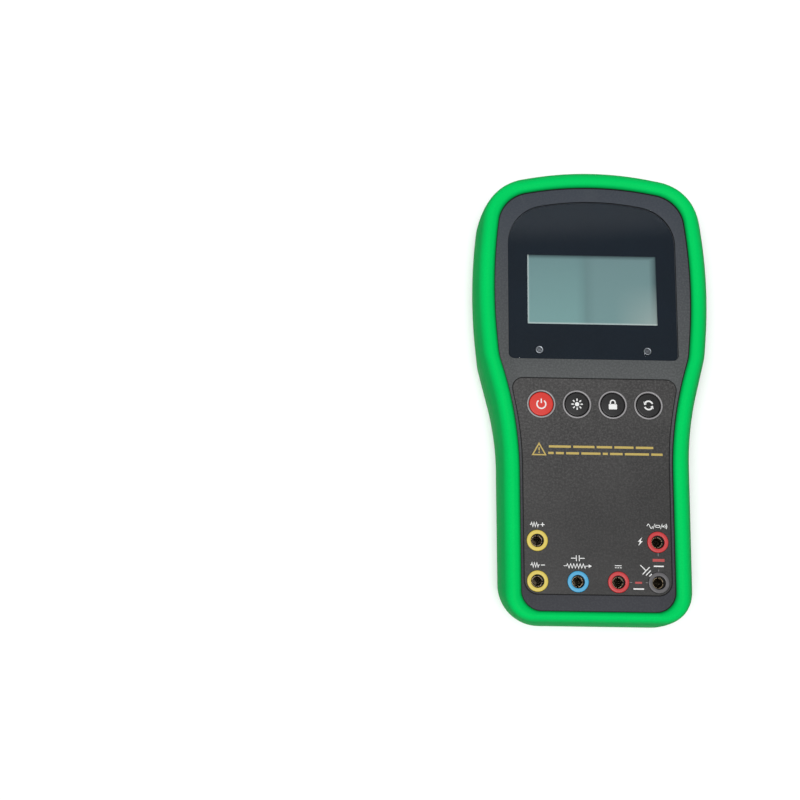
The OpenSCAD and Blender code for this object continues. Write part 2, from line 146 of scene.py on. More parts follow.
window_low, window_high = span("window_lens")
WINDOW_HALF = window_high.x - 0.2
WINDOW_CORNERS = [
    (WINDOW_HALF, window_low.y, 2.6, 4),
    (WINDOW_HALF + 0.2, window_low.y + 75.3, 20, 8),
    (0, window_low.y + 83.6, 130, 8),
]
label_low, label_high = span("label_panel")
LABEL_CORNERS = [
    (34.6, label_low.y, 6.5, 5),
    (35.2, label_low.y + 76, 160, 6),
    (label_high.x + 1.15, label_high.y, 5, 5),
]


def polar(r, w, x=0, y=0):
    """The point at radius r and angle w (radians) round a centre."""
    return (x + r * math.cos(w), y + r * math.sin(w))


def corner_arc(before, corner, after, radius, steps):
    """Points of the round that replaces a corner."""
    v = Vector(corner)
    a = (Vector(before) - v).normalized()
    b = (Vector(after) - v).normalized()
    half = a.angle(b) / 2
    middle = v + (a + b).normalized() * radius / math.sin(half)
    first = v + a * radius / math.tan(half) - middle
    start = math.atan2(first.y, first.x)
    side = 1 if (-a).cross(b) > 0 else -1
    turn = side * (math.pi - 2 * half)
    return [polar(radius, start + turn * i / steps, middle.x, middle.y) for i in range(steps + 1)]


def rounded(corners, detail=DETAIL):
    """A closed outline, counter-clockwise, from corners with radii."""
    points = []
    for i, (x, y, radius, steps) in enumerate(corners):
        before = corners[i - 1][:2]
        after = corners[(i + 1) % len(corners)][:2]
        points += corner_arc(before, (x, y), after, radius, steps * detail)
    return points


def both_sides(half):
    return list(half) + [(-x, y, r, n) for x, y, r, n in reversed(half) if x != 0]


def family(t):
    """Outline of the case and boot: 0 lip edge, 1 flank, 2 foot of the flank, 3 back opening."""
    i = min(max(math.floor(t), 0), len(STATIONS) - 2)
    u = t - i
    late = u ** 3 if i == 0 else u      # the lip's own radii hold until near the flank
    corners = []
    for (x0, y0, r0, steps), (x1, y1, r1, _) in zip(STATIONS[i], STATIONS[i + 1]):
        corners.append((x0 + (x1 - x0) * u, y0 + (y1 - y0) * u, r0 + (r1 - r0) * late, steps))
    return rounded(both_sides(corners))


def grown(corners, g):
    """The outline of a right half's corners, both sides, larger all round by g."""
    foot = corners[0][1]
    out = []
    for x, y, radius, steps in corners:
        out.append((x + g if x else 0, y - g if y == foot else y + g, radius + g, steps))
    return rounded(both_sides(out))


def circle(x, y, d, steps=64):
    turn = 2 * math.pi / steps
    return [polar(d / 2, i * turn, x, y) for i in range(steps)]


def box_outline(x, y, w, l, radius=0.6, steps=4):
    right, top = w / 2, l / 2
    corners = [(right, -top), (right, top), (-right, top), (-right, -top)]
    return rounded([(x + cx, y + cy, radius, steps) for cx, cy in corners], 1)


# -------- mesh building

def placed(name, data):
    """A new object in the scene."""
    obj = bpy.data.objects.new(name, data)
    scene.collection.objects.link(obj)
    return obj


def mesh_object(name, verts, faces, flat_faces=()):
    """Mesh from millimetre points; faces listed in flat_faces are shaded flat."""
    mesh = bpy.data.meshes.new(name)
    mesh.from_pydata([Vector(v) * MM for v in verts], [], faces)
    mesh.validate()
    mesh.shade_smooth()
    for index in flat_faces:
        mesh.polygons[index].use_smooth = False
    return placed(name, mesh)


def join(name, objects):
    """One object from several, which are used up; their material slots are kept."""
    bm = bmesh.new()
    materials = []
    for obj in objects:
        start = len(bm.faces)
        bm.from_mesh(obj.data)
        bm.faces.ensure_lookup_table()
        for face in bm.faces[start:]:
            if obj.data.materials:
                wanted = obj.data.materials[face.material_index]
                if wanted not in materials:
                    materials.append(wanted)
                face.material_index = materials.index(wanted)
        bpy.data.objects.remove(obj)
    mesh = bpy.data.meshes.new(name)
    bm.to_mesh(mesh)
    bm.free()
    for material in materials:
        mesh.materials.append(material)
    return placed(name, mesh)


def fill(loops, z, upwards):
    """Triangles that fill an outline and its holes at one height: (points, triangles)."""
    bm = bmesh.new()
    for loop in loops:
        verts = [bm.verts.new((x, y, 0)) for x, y in loop]
        for a, b in zip(verts, verts[1:] + verts[:1]):
            bm.edges.new((a, b))
    bm.verts.index_update()
    bmesh.ops.triangle_fill(bm, use_beauty=True, use_dissolve=False, edges=bm.edges[:])
    bm.verts.index_update()
    points = [(v.co.x, v.co.y, z) for v in bm.verts]
    triangles = []
    for face in bm.faces:
        face.normal_update()
        ring = [v.index for v in face.verts]
        if (face.normal.z > 0) != upwards:
            ring.reverse()
        triangles.append(ring)
    bm.free()
    return points, triangles


def band(near, far, count):
    """Faces between two rings of points, which start at the indices near and far."""
    faces = []
    for i in range(count):
        j = (i + 1) % count
        faces.append((near + i, far + i, far + j, near + j))
    return faces


def drawn_in(loop, inset):
    """The closed outline moved to the left of its direction by a distance."""
    out = []
    for (ax, ay), (x, y), (bx, by) in zip(loop[-1:] + loop[:-1], loop, loop[1:] + loop[:1]):
        length = math.hypot(bx - ax, by - ay) or 1
        out.append((x - (by - ay) / length * inset, y - (ax - bx) / length * inset))
    return out


def tidy_loop(loop):
    """The outline without points that coincide."""
    least = 0.004
    kept = []
    for p in loop:
        if not kept or math.dist(p, kept[-1]) > least:
            kept.append(p)
    if math.dist(kept[0], kept[-1]) <= least:
        kept.pop()
    return kept


def slab(name, outer, holes, z0, z1, top_round, foot_round=0):
    """A plate with holes, its edges rounded over at the top and at the foot."""
    steps = 4
    loops = [tidy_loop(outer)] + [tidy_loop(hole)[::-1] for hole in holes]
    rows = []
    for i in range(steps + 1 if top_round else 1):
        w = math.pi / 2 * i / steps
        rows.append((top_round * (1 - math.sin(w)), z1 - top_round * (1 - math.cos(w))))
    for i in range(steps + 1 if foot_round else 1):
        w = math.pi / 2 * (1 - i / steps) if foot_round else 0
        rows.append((foot_round * (1 - math.sin(w)), z0 + foot_round * (1 - math.cos(w))))
    verts, faces, flat = [], [], []
    for loop in loops:
        count = len(loop)
        first = len(verts)
        for inset, z in rows:
            verts += [(x, y, z) for x, y in drawn_in(loop, inset)]
        for r in range(len(rows) - 1):
            faces += band(first + r * count, first + (r + 1) * count, count)
    for (inset, z), upwards in ((rows[0], True), (rows[-1], False)):
        points, triangles = fill([drawn_in(loop, inset) for loop in loops], z, upwards)
        start = len(verts)
        verts += points
        flat += range(len(faces), len(faces) + len(triangles))
        faces += [[start + k for k in triangle] for triangle in triangles]
    obj = mesh_object(name, verts, faces, flat)
    weld(obj)
    return obj


def weld(obj):
    """Merges the points that coincide."""
    bm = bmesh.new()
    bm.from_mesh(obj.data)
    bmesh.ops.remove_doubles(bm, verts=bm.verts[:], dist=0.002 * MM)
    bm.to_mesh(obj.data)
    bm.free()


def lathe(name, profile, x=0, y=0, steps=96):
    """A closed profile of (radius, z) turned about a vertical axis; radius 0 closes it."""
    verts, faces, rings = [], [], []
    for r, z in profile:
        if r == 0:
            rings.append([len(verts)])
            verts.append((x, y, z))
        else:
            rings.append(list(range(len(verts), len(verts) + steps)))
            verts += [(px, py, z) for px, py in circle(x, y, 2 * r, steps)]
    closed = profile[0][0] > 0 and profile[-1][0] > 0
    pairs = list(zip(rings, rings[1:])) + ([(rings[-1], rings[0])] if closed else [])
    for low, high in pairs:
        for i in range(steps):
            j = (i + 1) % steps
            corners = [ring[k % len(ring)] for ring, k in ((low, i), (low, j), (high, j), (high, i))]
            faces.append(tuple(dict.fromkeys(corners)))
    obj = mesh_object(name, verts, faces)
    obj.data.set_sharp_from_angle(angle=math.radians(50))
    return obj


def arc(x, y, r, start, end, steps):
    """Points of an arc, its ends in degrees."""
    angles = [math.radians(start + (end - start) * i / steps) for i in range(steps + 1)]
    return [polar(r, w, x, y) for w in angles]


def ribbon(points, z0, z1, width, closed):
    """A flat bar of constant width along a path, as (verts, faces)."""
    count = len(points)
    verts, faces = [], []
    for i, (x, y) in enumerate(points):
        before = points[i - 1] if i or closed else points[i]
        after = points[(i + 1) % count] if i < count - 1 or closed else points[i]
        a = Vector((x - before[0], y - before[1]))
        b = Vector((after[0] - x, after[1] - y))
        a = a.normalized() if a.length else b.normalized()
        b = b.normalized() if b.length else a
        along = (a + b).normalized()
        stretch = 1 / max(0.35, along.dot(a))
        nx, ny = -along.y * width / 2 * stretch, along.x * width / 2 * stretch
        verts += [(x + nx, y + ny, z1), (x - nx, y - ny, z1), (x - nx, y - ny, z0), (x + nx, y + ny, z0)]
    for i in range(count if closed else count - 1):
        faces += band(4 * i, 4 * ((i + 1) % count), 4)
    if not closed:
        last = 4 * (count - 1)
        faces.append((3, 2, 1, 0))
        faces.append((last, last + 1, last + 2, last + 3))
    return verts, faces


def prism(near, far):
    """A solid between two outlines with as many points, as (verts, faces)."""
    count = len(near)
    ends = [tuple(range(count)), tuple(range(2 * count - 1, count - 1, -1))]
    return near + far, ends + band(0, count, count)


def patch(points, z0, z1):
    """A filled flat shape of a little thickness."""
    return prism([(x, y, z1) for x, y in points], [(x, y, z0) for x, y in points])


def printed(name, shapes, z, height=0.03):
    """One piece from shapes, which are ("line", points, width, closed) or ("patch", points)."""
    verts, faces = [], []
    for kind, points, *rest in shapes:
        draw = ribbon if kind == "line" else patch
        new_verts, new_faces = draw(points, z, z + height, *rest)
        start = len(verts)
        verts += new_verts
        faces += [tuple(start + k for k in face) for face in new_faces]
    return mesh_object(name, verts, faces, range(len(faces)))


def smooth_path(points, per_span):
    """Points of a Catmull-Rom curve through the given ones."""
    out = []
    last = len(points) - 1
    for i in range(last):
        p0, p1, p2, p3 = [Vector(points[min(max(k, 0), last)]) for k in range(i - 1, i + 3)]
        for k in range(per_span):
            u = k / per_span
            bend = (2 * p0 - 5 * p1 + 4 * p2 - p3) * u * u + (3 * p1 - p0 - 3 * p2 + p3) * u ** 3
            out.append(tuple((2 * p1 + (p2 - p0) * u + bend) / 2))
    out.append(tuple(points[-1]))
    return out


# -------- materials

class Nodes:
    """Texture and arithmetic nodes in one node tree; place is where its textures are read."""

    def __init__(self, tree, space):
        self.tree = tree
        self.place = tree.nodes.new("ShaderNodeTexCoord").outputs[space]

    def add(self, kind, inputs, **settings):
        """A new node; each input is named or numbered, with a value or another node's output."""
        node = self.tree.nodes.new(kind)
        for key, value in settings.items():
            setattr(node, key, value)
        self.feed(node, inputs)
        return node

    def feed(self, node, inputs):
        for key, value in inputs.items():
            if isinstance(value, bpy.types.NodeSocket):
                self.tree.links.new(value, node.inputs[key])
            else:
                node.inputs[key].default_value = value

    def remap(self, value, low, high, to_low=0, to_high=1):
        ends = {"From Min": low, "From Max": high, "To Min": to_low, "To Max": to_high}
        return self.add("ShaderNodeMapRange", {**ends, "Value": value}).outputs["Result"]

    def math(self, operation, a, b=0.0):
        return self.add("ShaderNodeMath", {0: a, 1: b}, operation=operation).outputs["Value"]

    def axis(self, name):
        return self.add("ShaderNodeSeparateXYZ", {"Vector": self.place}).outputs[name]


class Look(Nodes):
    """A Principled material with its texture nodes in object space, in metres."""

    INPUTS = {
        "colour": "Base Color",
        "metallic": "Metallic",
        "coat": "Coat Weight",
        "coat_roughness": "Coat Roughness",
        "specular": "Specular IOR Level",
        "alpha": "Alpha",
        "ior": "IOR",
    }

    def __init__(self, name):
        self.material = bpy.data.materials.new(name)
        self.material.use_nodes = True
        super().__init__(self.material.node_tree, "Object")
        self.shader = self.tree.nodes["Principled BSDF"]

    def set(self, **values):
        self.feed(self.shader, {self.INPUTS[key]: value for key, value in values.items()})
        return self

    def noise(self, scale, detail=3.0, roughness=0.5, stretch=(1, 1, 1), distortion=0.0):
        grain = {"Scale": scale, "Detail": detail, "Roughness": roughness, "Distortion": distortion}
        place = self.place
        if stretch != (1, 1, 1):
            place = self.add("ShaderNodeMapping", {"Scale": stretch, "Vector": place}).outputs["Vector"]
        return self.add("ShaderNodeTexNoise", {**grain, "Vector": place}).outputs["Fac"]

    def cloud(self, scale, to_low=0, to_high=1, detail=3.0, roughness=0.5):
        """Noise, with most of its spread taken from to_low to to_high."""
        return self.remap(self.noise(scale, detail, roughness), 0.3, 0.7, to_low, to_high)

    def mix(self, factor, a, b):
        """Blend of two colours, each a socket or an RGB triple."""
        a, b = [(*tone, 1) if isinstance(tone, tuple) else tone for tone in (a, b)]
        colours = {"Factor": factor, "A": a, "B": b}
        return self.add("ShaderNodeMix", colours, data_type="RGBA").outputs["Result"]

    def over(self, base, mask, amount, tone):
        """A tone laid over a base as far as the mask says."""
        return self.mix(self.math("MULTIPLY", mask, amount), base, tone)

    def edges(self):
        """1 on worn convex edges, 0 elsewhere."""
        return self.remap(self.add("ShaderNodeNewGeometry", {}).outputs["Pointiness"], 0.52, 0.62)

    def colour(self, socket):
        self.feed(self.shader, {"Base Color": socket})

    def roughness(self, socket):
        self.feed(self.shader, {"Roughness": socket})

    def bump(self, height, depth, strength):
        """Relief, its depth in millimetres."""
        relief = {"Height": height, "Distance": depth * MM, "Strength": strength}
        normal = self.add("ShaderNodeBump", relief).outputs["Normal"]
        self.feed(self.shader, {"Normal": normal})
        return self


def shade(colour, factor):
    """The colour made lighter or darker."""
    return tuple(min(1.0, c * factor) for c in colour)


def moulded(name, colour, rough, grain, depth=0.02, mottle=0.12, speckle=0.1, wear=0.15, **extra):
    """Moulded plastic or rubber: broad mottle, fine grain in colour, gloss and relief, rubbed edges."""
    look = Look(name)
    broad = look.cloud(22, detail=4)
    fine = look.cloud(grain, detail=2, roughness=0.6)
    body = look.mix(broad, shade(colour, 1 - mottle), shade(colour, 1 + mottle))
    grained = look.mix(fine, shade(colour, 1 - speckle), body)
    look.colour(look.over(grained, look.edges(), wear, shade(colour, 1.8)))
    look.roughness(look.cloud(grain * 0.35, rough - 0.05, rough + 0.06))
    look.bump(look.noise(grain, 2, 0.6), depth, 0.6)
    return look.set(**extra).material


def boot_rubber(name, deep, low_z, high_z):
    """Bright green rubber, going from the lip's colour at high_z to a deeper painted shade at low_z."""
    look = Look(name).set(specular=0.02)
    lip = (0.0007, 0.54, 0.104)
    grain = 1400
    fine = look.cloud(grain, detail=2, roughness=0.6)
    # The lip's own green, lightly mottled; lower down, painted shade darkens it.
    lightened = look.mix(look.cloud(22, detail=4), shade(lip, 0.95), shade(lip, 1.05))
    # Painted shade: 1 at low_z, where the green is darkest, falling to 0 at high_z.
    low = look.remap(look.axis("Z"), low_z * MM, high_z * MM, 1, 0)
    body = look.mix(low, lightened, deep)
    look.colour(look.mix(fine, look.mix(low, shade(lip, 0.93), shade(deep, 0.93)), body))
    look.roughness(look.cloud(grain * 0.35, 0.52, 0.62))
    return look.bump(look.noise(grain, 2, 0.6), 0.015, 0.6).material


def cover_plastic():
    """Dark plastic, paler and more speckled round the waist under a painted sheen, and darker towards
    the ends as painted shade.
    """
    look = Look("cover_plastic").set(specular=0.05)
    # The foot and crown colours, darker and bluer towards the crown, and the paler waist colour paint
    # uneven light along the cover.
    foot = (0.042, 0.0425, 0.050)
    crown = (0.046, 0.0525, 0.065)
    waist = (0.073, 0.0765, 0.0775)
    along = look.axis("Y")
    from_waist = look.math("ABSOLUTE", look.math("SUBTRACT", along, 8 * MM))
    # Painted sheen: 1 at the waist, falling to 0 at 85 mm from it.
    waist_sheen = look.remap(from_waist, 0, 85 * MM, 1, 0)
    mottle = look.cloud(40, 0, 0.06, 4, 0.6)
    grain = look.remap(look.noise(1100, 2, 0.7), 0.45, 0.62)
    ends = look.mix(look.remap(along, -70 * MM, 70 * MM), foot, crown)
    body = look.mix(mottle, look.mix(waist_sheen, ends, waist), (0, 0, 0))
    # The plastic's own specks, shown more strongly under the painted sheen.
    body = look.over(body, grain, look.remap(waist_sheen, 0, 1, 0.08, 0.3), shade(waist, 2))
    look.colour(look.over(body, look.edges(), 0.3, shade(waist, 1.8)))
    look.roughness(look.cloud(900, 0.41, 0.52))
    return look.bump(look.noise(1300, 2, 0.7), 0.012, 0.6).material


def back_plastic():
    return moulded("back_plastic", (0.03, 0.03, 0.033), 0.5, grain=900, depth=0.05, mottle=0.1,
                   speckle=0.15, wear=0.3)


def label_film():
    """Dark film with pale specks, paler round the keys and down the left side under a painted sheen,
    where its specks show more.
    """
    look = Look("label_film").set(specular=0.18)
    grey = (0.0310, 0.0299, 0.0296)
    # Painted sheen: the film is paler towards the keys and down the left side.
    upper = look.remap(look.axis("Y"), (label_high.y - 70) * MM, (label_high.y - 5) * MM, -0.19, 0.73)
    left = look.remap(look.axis("X"), -20 * MM, 20 * MM, 0.38, 0)
    lightened = look.remap(look.math("ADD", upper, left), 0, 1)
    broad = look.remap(look.noise(26, 4, 0.6, distortion=0.6), 0.35, 0.65)
    grain = look.remap(look.noise(1100, 2, 0.7), 0.45, 0.62)
    coarse = look.remap(look.noise(650, 2, 0.6), 0.42, 0.6, 0, 0.3)
    dull = look.mix(broad, shade(grey, 0.72), shade(grey, 1.08))
    pale = look.mix(broad, shade(grey, 1.25), shade(grey, 1.9))
    # The film's own specks, shown more strongly under the painted sheen.
    specks = look.remap(lightened, 0, 1, 0.24, 0.75)
    body = look.over(look.mix(lightened, dull, pale), grain, specks, shade(grey, 2.9))
    look.colour(look.mix(coarse, body, shade(grey, 0.55)))
    look.roughness(look.remap(grain, 0, 1, 0.4, 0.52))
    return look.bump(look.noise(1300, 2, 0.7), 0.01, 0.6).material


def gloss(name, colour, rough, **extra):
    """Smooth plastic with faint flow marks."""
    return moulded(name, colour, rough, grain=500, depth=0.006, mottle=0.06, speckle=0.05, wear=0.12,
                   **extra)


def print_ink(name, colour):
    """Screen-printed ink, a little thin in places."""
    look = Look(name)
    thin = look.remap(look.noise(2500, 2, 0.7), 0.5, 0.75, 0, 0.3)
    look.colour(look.mix(thin, colour, shade(colour, 0.6)))
    look.roughness(look.cloud(700, 0.42, 0.6))
    return look.bump(look.noise(2500), 0.004, 0.5).material


def metal(name, colour, rough, stretch=(1, 1, 12)):
    """Turned or drawn metal with fine tool marks."""
    look = Look(name).set(metallic=1.0)
    marks = look.noise(1500, 3, 0.6, stretch)
    look.colour(look.mix(look.cloud(180), shade(colour, 0.8), shade(colour, 1.1)))
    look.roughness(look.remap(marks, 0.3, 0.7, rough - 0.08, rough + 0.12))
    return look.bump(marks, 0.006, 0.5).material


def contact_brass():
    """Brass painted almost black inside the sleeve as shade, and brighter at its mouth as a painted
    glint.
    """
    look = Look("contact_brass").set(metallic=1.0)
    mouth_z = span("lcr_plus_sleeve")[1].z * MM
    # Painted shade and glint: 0 deep in the sleeve, rising to 1 near its mouth.
    mouth = look.remap(look.axis("Z"), mouth_z - 1.6 * MM, mouth_z - 0.1 * MM)
    stain = look.remap(look.noise(900, 3, 0.6), 0.35, 0.65, 0.4, 1)
    # The dark tone is painted shade; the paler one, patchy with the noise, is a painted glint at the
    # mouth.
    look.colour(look.over((0.05, 0.041, 0.028), mouth, stain, (0.32, 0.26, 0.18)))
    look.roughness(look.cloud(1500, 0.3, 0.5))
    return look.bump(look.noise(1500, 3, 0.6, (1, 1, 8)), 0.006, 0.5).material


def window_print():
    """Black print behind the window, with faint unevenness."""
    look = Look("window_print").set(coat=1.0, coat_roughness=0.03, specular=0.1)
    ink = (0.002, 0.0075, 0.0155)
    look.colour(look.mix(look.cloud(30), shade(ink, 0.85), shade(ink, 1.15)))
    look.roughness(look.cloud(900, 0.45, 0.6))
    return look.bump(look.noise(900), 0.0006, 0.3).material


def window_clear():
    """Clear acrylic: mostly see-through, glossy, with faint hairline scratches."""
    look = Look("clear_acrylic").set(alpha=0.07, ior=1.49, specular=0.5, colour=(0.03, 0.035, 0.04, 1))
    hair = look.noise(900, 4, 0.8, (1, 14, 1), 0.4)
    look.roughness(look.remap(hair, 0.55, 0.8, 0.03, 0.14))
    return look.bump(look.noise(12, 2), 0.012, 0.25).material


def display_glass():
    """Unlit grey-green liquid crystal panel with a faint dot matrix and a darker band, a painted shadow
    along its right and top edges, a painted highlight along its left and bottom edges, and a painted
    reflection in its lower right corner.
    """
    look = Look("display_glass").set(coat=0.6, coat_roughness=0.04, specular=0.2)
    low, high = span("lcd_glass")
    across = look.remap(look.axis("X"), low.x * MM, high.x * MM)
    along = look.remap(look.axis("Y"), low.y * MM, high.y * MM)
    deep = (0.16, 0.285, 0.29)
    pale = (0.207, 0.382, 0.375)
    dot_pitch = 0.5 * MM
    panel = look.mix(along, pale, deep)
    right = look.remap(across, 0.44, 0.47, 0, 0.5)
    panel = look.mix(right, panel, (0.17, 0.27, 0.28))
    seam = look.math("ABSOLUTE", look.math("SUBTRACT", across, 0.46))
    panel = look.mix(look.remap(seam, 0.0, 0.07, 0.5, 0.0), panel, shade(deep, 0.8))
    # Painted shadow along the right and top edges, where the window border shades the panel.
    shadow = look.math("MAXIMUM", look.remap(across, 0.91, 0.97), look.remap(along, 0.88, 0.94))
    # Painted reflection in the lower right corner.
    corner = look.math("MULTIPLY", look.remap(across, 0.66, 1.0), look.remap(along, 0.6, 0.08))
    # Painted highlight along the left and bottom edges.
    rim = look.math("MAXIMUM", look.remap(across, 0.059, 0.052), look.remap(along, 0.108, 0.096))
    panel = look.over(panel, shadow, 0.85, (0.02, 0.03, 0.04))
    panel = look.over(panel, corner, 0.9, (0.38, 0.46, 0.44))
    panel = look.over(panel, rim, 0.6, (0.66, 0.74, 0.73))
    rows, columns = [look.math("MULTIPLY", look.axis(name), 2 * math.pi / dot_pitch) for name in "XY"]
    dots = [look.remap(look.math("SINE", wave), 0.75, 1.0) for wave in (rows, columns)]
    look.colour(look.over(panel, look.math("MAXIMUM", *dots), 0.07, shade(pale, 1.3)))
    look.roughness(look.cloud(1200, 0.3, 0.42))
    return look.bump(look.noise(2500), 0.002, 0.4).material


def board_mask():
    """Solder mask over copper tracks, seen only through openings."""
    look = Look("board_mask").set(coat=0.3)
    tracks = look.remap(look.noise(160, 0, 0, (1, 6, 1)), 0.48, 0.52)
    look.colour(look.mix(tracks, (0.008, 0.10, 0.03), (0.015, 0.17, 0.055)))
    look.roughness(look.cloud(500, 0.25, 0.4))
    return look.bump(tracks, 0.02, 0.4).material


def floor_paper():
    look = Look("floor_paper").set(specular=0.1)
    white = (0.88, 0.88, 0.88)
    look.colour(look.mix(look.cloud(3), shade(white, 0.985), white))
    look.roughness(look.cloud(400, 0.75, 0.85))
    return look.material


MATERIALS = {
    # The first is the boot's green, darkened down its flanks by painted shade; the second paints a
    # shadow on the lip's inner side next to the cover.
    "boot_rubber": boot_rubber("boot_green", (0.001, 0.325, 0.066), FACE_Z - 0.9, BOOT_TOP - 0.5),
    "boot_groove_shadow": boot_rubber("boot_groove_shadow", (0.0008, 0.13, 0.028), FACE_Z + 0.2, FACE_Z + 2.5),
    "case_plastic": cover_plastic(),
    "back_plastic": back_plastic(),
    "window_clear": window_clear(),
    "window_black": window_print(),
    "label_film": label_film(),
    "brass": contact_brass(),
    "board_green": board_mask(),
    "lcd": display_glass(),
    "key_red": moulded("key_red", (0.60, 0.034, 0.024), 0.42, grain=2200, depth=0.008, mottle=0.05,
                       wear=0.1, specular=0.25),
    "key_dark": moulded("key_dark", (0.0125, 0.012, 0.0125), 0.4, grain=2200, depth=0.008,
                        specular=0.25),
    # Black that paints the shade in narrow gaps: round the label and under the boot's lip edge.
    "gap_shade_black": moulded("gap_shade_black", (0.006, 0.006, 0.0065), 0.6, grain=900, specular=0.15),
    "black_plastic": moulded("black_plastic", (0.02, 0.02, 0.021), 0.5, grain=1500),
    "ceramic_white": moulded("ceramic_white", (0.8, 0.79, 0.75), 0.7, grain=900, depth=0.05),
    "socket_bore": gloss("socket_bore", (0.008, 0.0075, 0.007), 0.5, specular=0.2),
    "fuse_glass": gloss("fuse_glass", (0.7, 0.75, 0.75), 0.1, alpha=0.45),
    "battery_foil": metal("battery_foil", (0.6, 0.61, 0.63), 0.4, (1, 1, 1)),
}
for name, colour, rough in (
    ("ring_grey", (0.25, 0.24, 0.245), 0.35),
    ("backlight_white", (0.8, 0.82, 0.8), 0.5),
    ("capacitor_sleeve", (0.02, 0.04, 0.14), 0.3),
    ("socket_ivory", (0.75, 0.7, 0.6), 0.4),
    ("lead_red", (0.6, 0.03, 0.03), 0.4),
):
    MATERIALS[name] = gloss(name, colour, rough)
for name, colour in (
    ("socket_yellow", (0.6, 0.47, 0.082)),
    ("socket_blue", (0.06, 0.33, 0.56)),
    ("socket_red", (0.48, 0.036, 0.04)),
    ("socket_grey", (0.095, 0.09, 0.095)),
):
    MATERIALS[name] = gloss(name, colour, 0.35, specular=0.3)
for name, colour, rough in (
    ("bright_brass", (0.5, 0.4, 0.22), 0.3),
    ("steel", (0.3, 0.31, 0.33), 0.42),
    ("dark_steel", (0.19, 0.205, 0.225), 0.45),
    # The darker steel lining the window screws' sockets paints their shade.
    ("socket_shade_steel", (0.1, 0.108, 0.12), 0.5),
    ("copper", (0.8, 0.42, 0.24), 0.3),
):
    MATERIALS[name] = metal(name, colour, rough)
for name, colour in (
    ("ink_white", (0.72, 0.72, 0.71)),
    ("ink_yellow", (0.43, 0.315, 0.065)),
    ("ink_red", (0.38, 0.03, 0.03)),
    ("ink_line", (0.16, 0.155, 0.16)),
):
    MATERIALS[name] = print_ink(name, colour)


def dress(obj, material):
    obj.data.materials.clear()
    obj.data.materials.append(MATERIALS[material])


def piece(obj, body, slot, nodes=(), material=None):
    """A finished piece: put on its body, dressed in the given material, or in the slot's when none is
    given and it has none, and the CAD nodes it stands for hidden.
    """
    if material or not obj.data.materials:
        dress(obj, material or slot)
    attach(obj, body)
    if nodes:
        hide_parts(*nodes)


# -------- boot

def boot():
    """The rubber boot, swept round the family of outlines, with the charging slot cut in its end."""
    groove = [(0.03, FACE_Z + 0.1), (0, FACE_Z + 0.7), (0.03, FACE_Z + 1.5), (0.11, FACE_Z + 2.3)]
    lip = [(0.22, FACE_Z + 2.8), (0.34, BOOT_TOP), (0.47, BOOT_TOP - 0.3), (0.6, BOOT_TOP - 1.2)]
    flank = [(0.72, BOOT_TOP - 2.6), (0.83, BOOT_TOP - 5), (0.92, BOOT_TOP - 8), (0.98, BOOT_TOP - 12),
             (1, 27), (1.2, 21), (1.5, 14), (1.8, 7.5), (2, 3.6), (2.05, 1.6), (2.12, 0.5), (2.25, 0)]
    per_span = 4
    groove_rows = len(groove) * per_span
    skin = smooth_path(groove + lip + flank, per_span)
    inside = [(2.96, 0), (2.985, 0.15), (3, 0.5), (3, BACK_T), (0.26, BACK_T), (0.26, FACE_Z + 0.1)]
    section = [(max(t, 0), min(max(z, 0), BOOT_TOP)) for t, z in skin + inside]
    verts, faces = [], []
    around = len(family(0))
    for t, z in section:
        verts += [(x, y, z) for x, y in family(t)]
    rows = len(section)
    for k in range(rows):
        faces += band(k * around, (k + 1) % rows * around, around)
    obj = mesh_object("boot", verts, faces)
    for material in ("boot_rubber", "boot_groove_shadow"):
        obj.data.materials.append(MATERIALS[material])
    # The lip's inner side, the first rows of the section, takes the second material: a painted shadow
    # next to the cover.
    for polygon in obj.data.polygons:
        if polygon.index < groove_rows * around:
            polygon.material_index = 1
    weld(obj)
    cut_slot(obj)
    obj.data.set_sharp_from_angle(angle=math.radians(40))
    piece(obj, METER, "boot_rubber", ["holster"])


def cut_slot(obj):
    """Cuts the charging slot, a stadium along Y, through the boot's display end."""
    wide, high = 13.5, 7.4
    inside_y, outside_y = HALF_L - 15, HALF_L + 5
    port = centre("usb_port")
    middle = (wide - high) / 2
    outline = arc(middle, port.z, high / 2, -90, 90, 12) + arc(-middle, port.z, high / 2, 90, 270, 12)
    near, far = [[(x, y, z) for x, z in outline] for y in (inside_y, outside_y)]
    tool = mesh_object("slot_tool", *prism(near, far))
    modifier = obj.modifiers.new("slot", "BOOLEAN")
    modifier.object = tool
    modifier.operation = "DIFFERENCE"
    modifier.solver = "EXACT"
    bpy.context.view_layer.update()
    result = bpy.data.meshes.new_from_object(obj.evaluated_get(bpy.context.evaluated_depsgraph_get()))
    obj.modifiers.clear()
    obj.data = result
    bpy.data.objects.remove(tool)


# -------- covers

def key_places():
    return [centre(key + "_key") for key in KEYS]


def socket_places():
    return [centre(name + "_socket") for name in SOCKETS]


